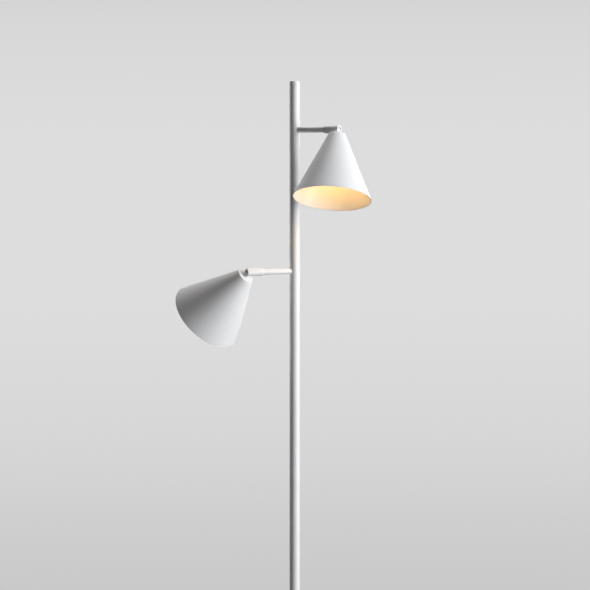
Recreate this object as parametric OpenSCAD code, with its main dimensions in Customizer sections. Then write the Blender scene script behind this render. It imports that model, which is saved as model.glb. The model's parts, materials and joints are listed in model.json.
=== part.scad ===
// Two-headed floor lamp: a slim pole on a round base carries two short arms,
// and a cone shade hangs from a swivel and tilt knuckle at the end of each.
// Millimetres, +Z up. The origin is the middle of the base's underside, on the
// pole's axis. The arms point forwards (-Y) to the right and to the left.

/* [Stand] */
// Height of the pole's top above the floor
lamp_h = 1500; // [1300:1:1700]
// Outer diameter of the pole
pole_d = 20; // [18:0.5:26]
// Wall of the pole tube
pole_wall = 1.5; // [1:0.1:2]
// Thickness of the flush cap in the pole's top
cap_t = 2; // [1:0.5:5]
// Length of the cap's plug inside the pole
cap_plug = 8; // [4:1:20]
// Diameter of the round base plate
base_d = 270; // [220:1:340]
// Thickness of the base plate
base_t = 10; // [10:0.5:16]
// Radius of the base plate's top edge
base_round = 2; // [0.5:0.5:4]
// Thickness of the soft pad under the base
pad_t = 2; // [1:0.5:4]
// Distance from the pad's edge to the plate's edge
pad_inset = 4; // [1:0.5:12]

/* [Pole foot] */
// Depth of the pole's seat in the base plate
seat_deep = 2.5; // [1:0.25:2.5]
// Height of the spigot above the base plate
spigot_h = 40; // [25:1:80]
// Bore of the spigot, for the leads
spigot_bore = 13; // [10:0.5:13]
// Diameter of the spigot's flange under the plate
flange_d = 56; // [50:1:70]
// Thickness of the spigot's flange
flange_t = 3.5; // [2.5:0.25:4]
// Pitch circle of the flange screws
foot_pcd = 40; // [34:1:42]
// Number of flange screws
foot_screws = 3; // [3:1:6]
// Thread diameter of the flange screws
foot_screw_d = 4; // [3:0.5:5]
// Length of the flange screws
foot_screw_l = 7; // [6:0.25:7.5]
// Height of the lock screw above the base plate
lock_h = 15; // [8:1:20]
// Thread diameter of the lock screw
lock_d = 5; // [3:0.5:6]

/* [Cord inlet] */
// Width of the cord's channel under the base
channel_w = 10; // [8:0.5:16]
// Depth of the cord's channel under the base
channel_deep = 6.5; // [6:0.25:6.5]
// Bore of the inlet bush
inlet_bore = 5; // [4:0.1:5.2]
// Length of the inlet bush
inlet_l = 10; // [6:1:20]
// Width of the cord's slot in the spigot
cord_slot_w = 6; // [4:0.5:7]

/* [Arms] */
// Drop from the pole's top to the upper arm
upper_drop = 94; // [60:1:140]
// Height between the two arms
arm_gap = 274; // [250:0.5:400]
// Angle between the arms, seen from above
arm_spread = 117; // [100:1:150]
// Distance from the pole's axis to the shade's pivot
arm_reach = 100; // [98:0.5:150]
// Outer diameter of the arm rod
rod_d = 11; // [10:0.1:11.4]
// Wall of the arm rod
rod_wall = 1.5; // [1.2:0.1:2]
// How far the rod stands inside the pole
rod_inside = 1.5; // [0.5:0.25:1.5]
// Diameter of the leads
lead_d = 3.4; // [2.6:0.1:3.4]
// Diameter of the lead connector in the pole
connector_d = 14; // [13:0.5:14]
// Length of the lead connector
connector_l = 28; // [20:1:50]

/* [Knuckle] */
// Outer diameter of the knuckle sleeve
sleeve_d = 15; // [14.6:0.1:15.6]
// Distance from the pivot to the sleeve's flat end
sleeve_over = 4.5; // [4.3:0.1:6]
// Distance from the pivot back to the collar joint
sleeve_back = 27; // [24:0.5:30]
// Length of the tapered collar
collar_l = 4; // [3:0.5:10]
// Small diameter of the tapered collar
collar_tip_d = 12.4; // [12.3:0.1:13]
// Outer diameter of the swivel bush
swivel_bush_d = 13; // [12.7:0.1:13.2]
// Length of the swivel bush
swivel_bush_l = 9; // [7:0.5:10]
// Distance from the pivot back to the rod's end
rod_back = 13; // [12:0.5:14]
// Thread diameter of the stop screw
stop_d = 3; // [2.5:0.1:3.5]
// Diameter of the stop screw's dog point
stop_tip_d = 2; // [1.5:0.1:2.2]
// Depth of the stop groove in the rod
groove_deep = 0.8; // [0.5:0.1:1]
// Swivel each way from straight down
swivel_limit = 130; // [90:1:140]
// Thickness of the tongue between the cheeks
tongue_w = 7; // [6.4:0.1:7.6]
// Radius of the tongue's round head
tongue_r = 4; // [3.6:0.1:4]
// Thickness of each friction washer
tilt_washer_t = 0.5; // [0.3:0.1:0.6]
// Diameter of the tilt pins
tilt_pin_d = 3; // [2:0.1:3.2]
// Width of the leads' way through the tongue
lead_way = 4; // [3.8:0.1:4.2]

/* [Rest pose] */
// Swivel of the upper shade about its arm
upper_swivel = -18; // [-120:0.5:120]
// Outward tilt of the upper shade
upper_tilt = 7; // [-4:0.5:90]
// Swivel of the lower shade about its arm
lower_swivel = -47.5; // [-120:0.5:120]
// Outward tilt of the lower shade
lower_tilt = 17.5; // [-4:0.5:90]

/* [Shade] */
// Diameter of the shade's opening
shade_d = 150; // [120:1:152]
// Diameter of the shade's flat top
shade_top_d = 32; // [30:0.5:40]
// Height of the shade from top to opening
shade_h = 130.4; // [126:0.2:132]
// Wall of the spun shade
shade_wall = 1; // [0.8:0.1:1.6]
// Radius of the shade's top edge
shade_round = 1.5; // [0.5:0.1:3]
// Distance from the pivot to the shade's flat top
shade_drop = 9.2; // [9:0.1:12]

/* [Lamp holder] */
// Thread diameter of the hollow stem
stem_d = 10; // [9:0.5:10]
// Diameter of the stem's seat on the shade
seat_d = 13; // [12:0.5:16]
// Thickness of the stem's seat
seat_t = 1.2; // [0.8:0.1:1.4]
// Length of the stem inside the shade
stem_l = 14; // [13:0.5:16]
// Width across the flats of the stem's nut
nut_flats = 14; // [13:0.5:17]
// Thickness of the stem's nut
nut_t = 3; // [2:0.25:3.5]
// Diameter of the washer under the nut
washer_d = 18; // [17:0.5:22]
// Thickness of the washer under the nut
washer_t = 0.8; // [0.5:0.1:1.5]
// Diameter of the holder's cap
holder_cap_d = 28; // [27:0.5:30]
// Length of the holder's cap
holder_cap_l = 13; // [12:0.5:16]
// Diameter of the holder's body
holder_d = 25; // [24:0.5:25]
// Diameter of the bulb's screw base
screw_d = 13.6; // [13:0.1:14]
// Length of the bulb's screw base
screw_l = 21; // [18:0.5:22]
// Diameter of the bulb
bulb_d = 45; // [35:0.5:50]
// Length of the bulb's glass
bulb_l = 52; // [48:0.5:56]
// Wall of the bulb's glass
glass_t = 0.9; // [0.5:0.1:1.5]

/* [Hidden] */

$fn = 64;

fit = 0.05;         // radial clearance of pieces that slide or turn in one another
loose = 0.3;        // clearance of pieces that pass one another
thread = 0.05;      // radial clearance of a screw in its thread
over = 1;           // how far a cut runs past a face
foot_head_t = 1;    // thickness of the flange screws' heads

// Heights of the stand
plate_z = pad_t;
plate_top = plate_z + base_t;
recess_deep = flange_t + foot_head_t + loose;
flange_z = plate_z + recess_deep - flange_t;
seat_z = plate_top - seat_deep;
cap_z = lamp_h - cap_t;
upper_z = lamp_h - upper_drop;
lower_z = upper_z - arm_gap;
spigot_top = plate_top + spigot_h;

// Radii of the stand
pole_bore_r = pole_d / 2 - pole_wall;
spigot_r = pole_bore_r - fit;
hole_clear = 0.25;

// Arms: angle about the pole, height, swivel and tilt at rest
forward = -90;
upper_turn = forward + arm_spread / 2;
lower_turn = forward - arm_spread / 2;
ARMS = [
    ["upper", upper_turn, upper_z, upper_swivel, upper_tilt],
    ["lower", lower_turn, lower_z, lower_swivel, lower_tilt]];

// Leads: they climb at the back of the pole's bore and bend into the arm
lead_r = lead_d / 2;
lead_wall_gap = 2.3;    // from the lead to the pole's bore
lead_off = pole_bore_r - lead_r - lead_wall_gap;
lead_bend_end = 3.5;    // from the pole's axis to where the bend ends
lead_bend = lead_off + lead_bend_end;
lead_tail = 8;          // length of the lead's end inside the connector
lead_stop = 2.6;        // from the lead's end to the pivot, where it flexes

// Places along the arm, from the pole's axis
rod_start = pole_bore_r - rod_inside;
rod_end = arm_reach - rod_back;
joint_x = arm_reach - sleeve_back;
sleeve_end = arm_reach + sleeve_over;
web_x = rod_end + 1;    // the sleeve's inner shoulder
bush_x = web_x - swivel_bush_l;
collar_x = joint_x - collar_l;
collar_plug = bush_x - joint_x;
stop_back = 3.5;        // from the rod's end back to the stop screw
stop_x = rod_end - stop_back;

// Radii along the arm
rod_r = rod_d / 2;
groove_r = rod_r - groove_deep;
groove_w = stop_tip_d + 2 * 0.2;
stop_tip_r = groove_r + 0.1;
stop_half_angle = asin((stop_tip_d / 2 + 0.05) / groove_r);
groove_half_angle = swivel_limit + stop_half_angle + 1;

// Fork slot of the knuckle
slot_w = tongue_w + 2 * (tilt_washer_t + fit);
slot_top = tongue_r + 0.5;
slot_back = tongue_r + 1.3;
cavity_r = min(lead_way, tongue_w) / 2 + 2;
washer_in = tongue_w / 2 + fit;

// Shade profile
shade_r = shade_d / 2;
shade_top_r = shade_top_d / 2;
shade_angle = atan((shade_r - shade_top_r) / shade_h);
shade_low = -shade_drop - shade_h;
wall_run = shade_wall / cos(shade_angle);

// Heights inside the head, down from the pivot
stem_r = stem_d / 2;
lead_bore_r = lead_way / 2;
under_top = -shade_drop - shade_wall;
washer_z = under_top - washer_t;
nut_z = washer_z - nut_t;
nut_gap = 0.8;          // from the nut to the holder's cap
holder_top = nut_z - nut_gap;
cap_wall = 1.6;
cap_floor = 2.4;
cap_low = holder_top - holder_cap_l;
stem_low = under_top - stem_l;
stem_gap = 0.6;         // from the stem's end to the holder's body
holder_roof = stem_low - stem_gap;
holder_floor = 3;
shell_t = 0.5;
shell_r = screw_d / 2 + 0.4;    // the bulb's thread turns freely inside
shell_lip = 1;          // from the holder's edge to the shell
contact_r = 1.5;
contact_hole_r = 3.5;
shell_top = holder_roof - holder_floor;
screw_top = shell_top - 2;
glass_top = screw_top - screw_l;
holder_low = glass_top + 1;
glass_low = glass_top - bulb_l;
ball_r = bulb_d / 2;
ball_z = glass_low + ball_r;
neck_r = screw_d / 2 + 1.2;
neck_end_r = ball_r * 0.6;
neck_end_z = ball_z + ball_r * 0.8;

// Solid of revolution about Z with a rounded upper outer edge
module round_disc(r, h, edge) {
    rotate_extrude() {
        square([r - edge, h]);
        square([r, h - edge]);
        translate([r - edge, h - edge]) circle(edge);
    }
}

// Tube or rod along +X between two places
module along(x0, x1, r) {
    translate([x0, 0, 0]) rotate([0, 90, 0]) cylinder(r = r, h = x1 - x0);
}

// Moves a piece from the arm's frame (X outwards) to its place on the pole
module on_arm(arm) {
    rotate([0, 0, arm[1]]) translate([0, 0, arm[2]]) children();
}

// Turns a piece of the knuckle about the arm
module swivelled(arm) {
    on_arm(arm) rotate([arm[3], 0, 0]) children();
}

// Moves a piece of the head, drawn about its pivot, to its place
module tilted(arm) {
    swivelled(arm) translate([arm_reach, 0, 0]) rotate([0, -arm[4], 0]) children();
}

module foot_ring() {
    for (i = [0 : foot_screws - 1])
        rotate([0, 0, 360 / foot_screws * i - 90]) translate([foot_pcd / 2, 0, 0]) children();
}

module base_plate() {
    color("white") difference() {
        translate([0, 0, plate_z]) round_disc(base_d / 2, base_t, base_round);
        translate([0, 0, seat_z]) cylinder(r = pole_d / 2 + fit, h = seat_deep + over);
        translate([0, 0, plate_z]) cylinder(r = spigot_r + fit, h = base_t);
        translate([0, 0, plate_z - over])
            cylinder(r = flange_d / 2 + loose, h = recess_deep + over);
        translate([-channel_w / 2, 0, plate_z - over])
            cube([channel_w, base_d, channel_deep + over]);
        foot_ring() translate([0, 0, plate_z])
            cylinder(r = foot_screw_d / 2 + thread, h = foot_screw_l + 1.5);
    }
}

module base_pad() {
    color("dimgray") cylinder(r = base_d / 2 - pad_inset, h = pad_t);
}

// Bush in the mouth of the cord's channel, where a cord would come in
module inlet_bush() {
    inlet_w = channel_w - 2 * fit;
    inlet_h = channel_deep - fit;
    inlet_y = sqrt(pow(base_d / 2, 2) - pow(channel_w / 2, 2)) - inlet_l - 0.5;
    color("white") translate([0, inlet_y, plate_z]) difference() {
        translate([-inlet_w / 2, 0, 0]) cube([inlet_w, inlet_l, inlet_h]);
        translate([0, -over, inlet_h / 2]) rotate([-90, 0, 0])
            cylinder(r = inlet_bore / 2, h = inlet_l + 2 * over);
    }
}

module pole_spigot() {
    color("silver") difference() {
        union() {
            translate([0, 0, flange_z]) cylinder(r = flange_d / 2, h = flange_t);
            translate([0, 0, flange_z]) cylinder(r = spigot_r, h = spigot_top - flange_z);
        }
        translate([0, 0, flange_z - over])
            cylinder(r = spigot_bore / 2, h = spigot_top - flange_z + 2 * over);
        translate([-cord_slot_w / 2, 0, flange_z - over])
            cube([cord_slot_w, flange_d, plate_z + channel_deep - flange_z + over]);
        foot_ring() translate([0, 0, flange_z - over])
            cylinder(r = foot_screw_d / 2 + hole_clear, h = flange_t + 2 * over);
        translate([0, 0, plate_top + lock_h]) rotate([-90, 0, 0])
            cylinder(r = lock_d / 2 + thread, h = pole_d);
    }
}

// Flat-headed screws that hold the flange up against the plate
module spigot_screws() {
    color("silver") foot_ring() translate([0, 0, flange_z - foot_head_t]) difference() {
        union() {
            cylinder(r = foot_screw_d * 0.9, h = foot_head_t);
            cylinder(r = foot_screw_d / 2, h = foot_screw_l + foot_head_t);
        }
        translate([0, 0, -over]) cylinder(r = foot_screw_d * 0.3, h = over + 1.8, $fn = 6);
    }
}

module pole() {
    color("white") difference() {
        translate([0, 0, seat_z]) cylinder(r = pole_d / 2, h = cap_z - seat_z);
        translate([0, 0, seat_z - over]) cylinder(r = pole_bore_r, h = cap_z - seat_z + 2 * over);
        for (arm = ARMS) on_arm(arm) along(0, pole_d, rod_r + fit);
        translate([0, 0, plate_top + lock_h]) rotate([-90, 0, 0])
            cylinder(r = lock_d / 2 + thread, h = pole_d);
    }
}

// Headless screw at the back of the pole, screwed into the spigot's wall
module pole_lock_screw() {
    screw_in = spigot_bore / 2 + 0.3;
    screw_out = pole_d / 2 - 0.3;
    color("silver") translate([0, 0, plate_top + lock_h]) rotate([-90, 0, 0]) difference() {
        translate([0, 0, screw_in]) cylinder(r = lock_d / 2, h = screw_out - screw_in);
        translate([0, 0, screw_out - 1.5]) cylinder(r = lock_d * 0.29, h = 1.5 + over, $fn = 6);
    }
}

module pole_cap() {
    color("white") translate([0, 0, cap_z]) {
        round_disc(pole_d / 2, cap_t, 0.5);
        translate([0, 0, -cap_plug]) cylinder(r = pole_bore_r - fit, h = cap_plug);
    }
}

// Closed connector on top of the spigot, where both leads end
module lead_connector() {
    color("ivory") difference() {
        translate([0, 0, spigot_top]) cylinder(r = connector_d / 2, h = connector_l);
        for (arm = ARMS) rotate([0, 0, arm[1]])
            translate([-lead_off, 0, spigot_top + connector_l - lead_tail])
                cylinder(r = lead_r + fit, h = lead_tail + over);
    }
}

// Lead of one arm: up the pole, through a quarter bend and along the rod's bore
module arm_lead(arm) {
    lead_low = spigot_top + connector_l - lead_tail;
    bend_z = arm[2] - lead_bend;
    color("gainsboro") rotate([0, 0, arm[1]]) {
        translate([-lead_off, 0, lead_low]) cylinder(r = lead_r, h = bend_z - lead_low);
        translate([-lead_off + lead_bend, 0, bend_z]) rotate([90, 0, 0])
            rotate([0, 0, 90]) rotate_extrude(angle = 90) translate([lead_bend, 0]) circle(lead_r);
        translate([0, 0, arm[2]]) along(lead_bend - lead_off, arm_reach - lead_stop, lead_r);
    }
}

// Arm rod, with the stop groove near its end: the groove is open below the arm
module arm_rod() {
    color("white") difference() {
        along(rod_start, rod_end, rod_r);
        along(rod_start - over, rod_end + over, rod_r - rod_wall);
        translate([stop_x, 0, 0]) rotate([0, 90, 0])
            rotate([0, 0, -groove_half_angle])
                rotate_extrude(angle = 2 * groove_half_angle)
                    translate([groove_r, -groove_w / 2]) square([rod_r, groove_w]);
    }
}

// Tapered collar that closes the sleeve round the rod
module swivel_collar() {
    plug_r = swivel_bush_d / 2;
    color("white") difference() {
        union() {
            translate([collar_x, 0, 0]) rotate([0, 90, 0])
                cylinder(r1 = collar_tip_d / 2, r2 = sleeve_d / 2, h = collar_l);
            along(joint_x, joint_x + collar_plug, plug_r);
        }
        along(collar_x - over, joint_x + collar_plug + over, rod_r + loose);
    }
}

// Sleeve: bush seat, cavity for the lead and a fork that is open below and at its end
module knuckle_sleeve() {
    color("white") difference() {
        along(joint_x, sleeve_end, sleeve_d / 2);
        along(joint_x - over, web_x, swivel_bush_d / 2);
        along(web_x - over, arm_reach, cavity_r);
        translate([arm_reach - slot_back, -slot_w / 2, -sleeve_d])
            cube([slot_back + sleeve_over + over, slot_w, sleeve_d + slot_top]);
        translate([arm_reach, -sleeve_d, 0]) rotate([-90, 0, 0])
            cylinder(r = tilt_pin_d / 2, h = 2 * sleeve_d);
        translate([stop_x, 0, -sleeve_d]) cylinder(r = stop_d / 2 + thread, h = sleeve_d);
    }
}

module swivel_bush() {
    color("ivory") difference() {
        along(bush_x, web_x, swivel_bush_d / 2);
        along(bush_x - over, web_x + over, rod_r + fit);
        translate([stop_x, 0, -sleeve_d]) cylinder(r = stop_d / 2 + thread, h = sleeve_d);
    }
}

// Headless screw under the sleeve, with a dog point in the rod's groove
module stop_screw() {
    shoulder_r = rod_r + 0.3;
    outer_r = sleeve_d / 2 - 0.2;
    color("silver") translate([stop_x, 0, 0]) rotate([180, 0, 0]) difference() {
        union() {
            translate([0, 0, stop_tip_r]) cylinder(r = stop_tip_d / 2, h = outer_r - stop_tip_r);
            translate([0, 0, shoulder_r]) cylinder(r = stop_d / 2, h = outer_r - shoulder_r);
        }
        translate([0, 0, outer_r - 0.9]) cylinder(r = stop_d * 0.28, h = 0.9 + over, $fn = 6);
    }
}

// Two short pins, flush with the sleeve, that leave the middle free for the lead
module tilt_pins() {
    pin_in = lead_way / 2 + 0.1;
    color("white") translate([arm_reach, 0, 0]) intersection() {
        rotate([0, 90, 0]) cylinder(r = sleeve_d / 2, h = 4 * tilt_pin_d, center = true);
        for (side = [-1, 1]) rotate([-90 * side, 0, 0])
            translate([0, 0, pin_in]) cylinder(r = tilt_pin_d / 2, h = sleeve_d);
    }
}

module tilt_washers() {
    color("silver") translate([arm_reach, 0, 0])
        for (side = [-1, 1]) rotate([-90 * side, 0, 0]) translate([0, 0, washer_in]) difference() {
            cylinder(r = tongue_r - 0.1, h = tilt_washer_t);
            translate([0, 0, -over]) cylinder(r = tilt_pin_d / 2 + fit, h = tilt_washer_t + 2 * over);
        }
}

// Tongue, seat and hollow stem in one turned piece; the pivot is at the origin
module knuckle_stem() {
    seat_z = -shade_drop;
    color("white") difference() {
        union() {
            rotate([90, 0, 0]) cylinder(r = tongue_r, h = tongue_w, center = true);
            translate([-tongue_r, -tongue_w / 2, seat_z]) cube([2 * tongue_r, tongue_w, shade_drop]);
            translate([0, 0, seat_z]) cylinder(r = seat_d / 2, h = seat_t);
            translate([0, 0, stem_low]) cylinder(r = stem_r, h = seat_z - stem_low);
        }
        translate([0, 0, stem_low - over]) cylinder(r = lead_bore_r, h = over - stem_low);
        translate([-tongue_r - over, -lead_way / 2, -lead_way / 2])
            cube([tongue_r + over + lead_way / 2, lead_way, lead_way / 2 + tongue_r + over]);
        rotate([90, 0, 0]) cylinder(r = tilt_pin_d / 2 + fit, h = 2 * tongue_w, center = true);
    }
}

// Spun cone with a flat top, a rounded top edge and an even wall
module shade() {
    hole_r = stem_r + thread;
    corner_r = shade_top_r + shade_round * (tan(shade_angle) - 1 / cos(shade_angle));
    corner_z = -shade_drop - shade_round;
    inner_top_r = shade_top_r - wall_run + shade_wall * tan(shade_angle);
    round_step = (90 - shade_angle) / 6;
    rounded = [for (turn = [90 : -round_step : shade_angle - round_step / 2])
        [corner_r + shade_round * cos(turn), corner_z + shade_round * sin(turn)]];
    color("white") rotate_extrude() polygon(concat(
        [[hole_r, under_top], [hole_r, -shade_drop]], rounded,
        [[shade_r, shade_low], [shade_r - wall_run, shade_low], [inner_top_r, under_top]]));
}

module stem_washer() {
    color("silver") translate([0, 0, washer_z]) difference() {
        cylinder(r = washer_d / 2, h = washer_t);
        translate([0, 0, -over]) cylinder(r = stem_r + thread, h = washer_t + 2 * over);
    }
}

module stem_nut() {
    color("silver") translate([0, 0, nut_z]) difference() {
        cylinder(r = nut_flats / 2 / cos(30), h = nut_t, $fn = 6);
        translate([0, 0, -over]) cylinder(r = stem_r + thread, h = nut_t + 2 * over);
    }
}

// Threaded cup that screws onto the stem
module holder_cap() {
    color("ivory") difference() {
        translate([0, 0, cap_low]) round_disc(holder_cap_d / 2, holder_cap_l, 2);
        translate([0, 0, cap_low - over])
            cylinder(r = holder_cap_d / 2 - cap_wall, h = holder_cap_l - cap_floor + over);
        translate([0, 0, cap_low]) cylinder(r = stem_r + thread, h = holder_cap_l + over);
    }
}

// Insulating body, with a plug into the cap and a pocket for the contacts
module holder_body() {
    plug_r = holder_cap_d / 2 - cap_wall - fit;
    color("ivory") difference() {
        union() {
            translate([0, 0, holder_low]) cylinder(r = holder_d / 2, h = cap_low - holder_low);
            translate([0, 0, cap_low - 1]) cylinder(r = holder_cap_d / 2 - 0.4, h = 1);
            translate([0, 0, cap_low]) cylinder(r = plug_r, h = holder_roof - cap_low);
        }
        translate([0, 0, holder_low - over])
            cylinder(r = shell_r + shell_t, h = shell_top - holder_low + over);
        translate([0, 0, shell_top - over]) cylinder(r = contact_r + thread, h = holder_floor + 2 * over);
    }
}

// Screw shell and centre contact
module holder_contacts() {
    shell_low = holder_low + shell_lip;
    color("gold") difference() {
        translate([0, 0, shell_low]) cylinder(r = shell_r + shell_t, h = shell_top - shell_low);
        translate([0, 0, shell_low - over]) cylinder(r = shell_r, h = shell_top - shell_low + over - shell_t);
        translate([0, 0, shell_top - over]) cylinder(r = contact_hole_r, h = 2 * over);
    }
    color("gold") translate([0, 0, screw_top])
        cylinder(r = contact_r, h = holder_floor + shell_top - screw_top);
}

// Screw base of the bulb, with its thread as four rings
module bulb_base() {
    ring_pitch = screw_l / 6;
    color("silver") {
        translate([0, 0, glass_top]) cylinder(r = screw_d / 2 - 0.6, h = screw_l - 3);
        for (i = [1 : 4]) translate([0, 0, glass_top + ring_pitch * i])
            cylinder(r = screw_d / 2, h = ring_pitch / 2);
        translate([0, 0, screw_top - 3]) cylinder(r1 = screw_d / 2 - 1.4, r2 = 3, h = 3);
    }
}

// Frosted globe: a ball that runs into a short neck
module bulb_glass() {
    color("moccasin") difference() {
        union() {
            translate([0, 0, ball_z]) sphere(r = ball_r);
            translate([0, 0, neck_end_z])
                cylinder(r1 = neck_end_r, r2 = neck_r, h = glass_top - neck_end_z);
        }
        translate([0, 0, ball_z]) sphere(r = ball_r - glass_t);
        translate([0, 0, neck_end_z - over])
            cylinder(r1 = neck_end_r - glass_t, r2 = neck_r - glass_t, h = glass_top - glass_t - neck_end_z + over);
    }
}

// Lead in the stem, from the tongue's bend to the lamp holder
module head_lead() {
    lead_top = -lead_way / 2 - 1;
    color("gainsboro") translate([0, 0, holder_roof + 0.2])
        cylinder(r = lead_r, h = lead_top - holder_roof - 0.2);
}

base_plate();
base_pad();
inlet_bush();
pole_spigot();
spigot_screws();
pole();
pole_lock_screw();
pole_cap();
lead_connector();

for (arm = ARMS) {
    name = arm[0];
    arm_lead(arm);
    on_arm(arm) arm_rod();
    swivelled(arm) swivel_collar();
    swivelled(arm) knuckle_sleeve();
    swivelled(arm) swivel_bush();
    swivelled(arm) stop_screw();
    swivelled(arm) tilt_pins();
    swivelled(arm) tilt_washers();
    tilted(arm) knuckle_stem();
    tilted(arm) shade();
    tilted(arm) stem_washer();
    tilted(arm) stem_nut();
    tilted(arm) holder_cap();
    tilted(arm) holder_body();
    tilted(arm) holder_contacts();
    tilted(arm) bulb_base();
    tilted(arm) bulb_glass();
    tilted(arm) head_lead();
}
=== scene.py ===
import json
from math import atan2, cos, degrees, hypot, radians, sin

import bmesh
import bpy
import numpy as np
from mathutils import Matrix, Vector


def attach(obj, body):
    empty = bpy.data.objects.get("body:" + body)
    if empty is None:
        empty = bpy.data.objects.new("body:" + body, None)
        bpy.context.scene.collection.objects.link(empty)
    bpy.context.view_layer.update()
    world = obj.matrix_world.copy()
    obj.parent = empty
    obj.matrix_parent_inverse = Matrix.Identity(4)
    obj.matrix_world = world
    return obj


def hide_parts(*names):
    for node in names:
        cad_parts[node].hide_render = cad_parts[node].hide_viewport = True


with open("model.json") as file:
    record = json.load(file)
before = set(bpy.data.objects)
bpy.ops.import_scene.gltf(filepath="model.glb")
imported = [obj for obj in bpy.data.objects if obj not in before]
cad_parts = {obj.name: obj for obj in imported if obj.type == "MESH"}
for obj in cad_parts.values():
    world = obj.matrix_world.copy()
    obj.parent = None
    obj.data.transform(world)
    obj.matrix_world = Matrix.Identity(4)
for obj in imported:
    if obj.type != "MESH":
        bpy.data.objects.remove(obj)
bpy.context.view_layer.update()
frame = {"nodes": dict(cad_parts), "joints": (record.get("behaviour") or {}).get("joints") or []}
mm = 0.001


# where the arms, knuckles and heads are, read from the frame's joints
joints = {joint["name"]: joint for joint in frame["joints"]}
inwardStop = -4      # lowest tilt that the knuckle allows, in degrees


def headPlaces(side):
    # the swivel's axis is the arm, and the tilt's axis is square to it: their angles give the rest pose
    swivelJoint, tiltJoint = joints[side + "_swivel"], joints[side + "_tilt"]
    alongArm, pivot = Vector(swivelJoint["axis"]), Vector(swivelJoint["pos_m"])
    turn = atan2(alongArm.y, alongArm.x)
    arm = Matrix.Translation((0, 0, pivot.z)) @ Matrix.Rotation(turn, 4, "Z")
    crossPin = arm.to_3x3().inverted() @ -Vector(tiltJoint["axis"])
    swivel = atan2(crossPin.z, crossPin.y)
    tilt = radians(inwardStop - tiltJoint["range_deg"][0])
    knuckle = arm @ Matrix.Rotation(swivel, 4, "X")
    head = knuckle @ Matrix.Translation((hypot(pivot.x, pivot.y), 0, 0)) @ Matrix.Rotation(-tilt, 4, "Y")
    angles = [round(degrees(angle), 1) for angle in (turn, swivel, tilt)]
    print(side, "arm's turn, swivel and tilt:", angles)
    return {"arm": arm, "knuckle": knuckle, "head": head}


places = {side: headPlaces(side) for side in ("upper", "lower")}
alongX = Matrix.Rotation(radians(90), 4, "Y")      # turns a piece's own axis from Z to X
standing = Matrix.Identity(4)


def addNode(tree, kind, x, y, **settings):
    node = tree.nodes.new(kind)
    node.location = (x, y)
    for key, value in settings.items():
        setattr(node, key, value)
    return node


def mathNode(tree, operation, x, y, *values, **settings):
    # each value is a number or another node's socket
    node = addNode(tree, "ShaderNodeMath", x, y, operation=operation, **settings)
    for socket, value in zip(node.inputs, values):
        if isinstance(value, (int, float)):
            socket.default_value = value
        else:
            tree.links.new(value, socket)
    return node.outputs[0]


def rangeNode(tree, x, y, value, low, high, **settings):
    # stretches low to high out to 0 to 1
    node = addNode(tree, "ShaderNodeMapRange", x, y, **settings)
    node.inputs["From Min"].default_value = low
    node.inputs["From Max"].default_value = high
    tree.links.new(value, node.inputs["Value"])
    return node


def objectNoise(tree, x, y, scale, detail):
    # noise on the piece's own coordinates
    place = addNode(tree, "ShaderNodeTexCoord", x - 250, y - 100)
    noise = addNode(tree, "ShaderNodeTexNoise", x, y)
    noise.inputs["Detail"].default_value = detail
    tree.links.new(place.outputs["Object"], noise.inputs["Vector"])
    tree.links.new(scale, noise.inputs["Scale"])
    return noise.outputs["Fac"]


def newGroup(name, result, **inputs):
    # shader group with one output; an input's starting value is a number or a colour
    tree = bpy.data.node_groups.new(name, "ShaderNodeTree")
    for key, value in inputs.items():
        kind = "NodeSocketColor" if isinstance(value, tuple) else "NodeSocketFloat"
        socket = tree.interface.new_socket(name=key.replace("_", " "), in_out="INPUT", socket_type=kind)
        socket.default_value = value
    kind = "NodeSocketColor" if result == "Color" else "NodeSocketFloat"
    tree.interface.new_socket(name=result, in_out="OUTPUT", socket_type=kind)
    start = addNode(tree, "NodeGroupInput", -900, 0)
    end = addNode(tree, "NodeGroupOutput", 700, 0)
    return tree, start.outputs, end.inputs[result]


def buildToneDrift():
    # colour times a factor near one, which wanders slowly over the piece
    tree, given, result = newGroup("toneDrift", "Color", Color=(0.8, 0.8, 0.8, 1), Scale=20, Amount=0.02)
    noise = objectNoise(tree, -650, -200, given["Scale"], 4)
    centred = mathNode(tree, "SUBTRACT", -450, -200, noise, 0.5)
    swing = mathNode(tree, "MULTIPLY", -250, -200, centred, given["Amount"])
    factor = mathNode(tree, "ADD", -50, -200, swing, 1)
    scaled = addNode(tree, "ShaderNodeVectorMath", 200, 0, operation="SCALE")
    tree.links.new(given["Color"], scaled.inputs[0])
    tree.links.new(factor, scaled.inputs["Scale"])
    tree.links.new(scaled.outputs[0], result)
    return tree


def buildRoughDrift():
    # roughness between two values, by a noise with fine detail
    tree, given, result = newGroup("roughDrift", "Roughness", Scale=60, Low=0.4, High=0.5)
    spread = rangeNode(tree, -200, 0, objectNoise(tree, -600, -100, given["Scale"], 6), 0.3, 0.7)
    tree.links.new(given["Low"], spread.inputs["To Min"])
    tree.links.new(given["High"], spread.inputs["To Max"])
    tree.links.new(spread.outputs["Result"], result)
    return tree


def buildPeel():
    # height of a sprayed or moulded skin: soft swells with fine grains on them
    tree, given, result = newGroup("skinPeel", "Height", Swells=700, Grains=2600, Grain_share=0.3)
    swells = objectNoise(tree, -600, 100, given["Swells"], 1)
    grains = objectNoise(tree, -600, -200, given["Grains"], 2)
    share = mathNode(tree, "MULTIPLY", -300, -200, grains, given["Grain share"])
    tree.links.new(mathNode(tree, "ADD", 0, 0, swells, share), result)
    return tree


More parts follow.
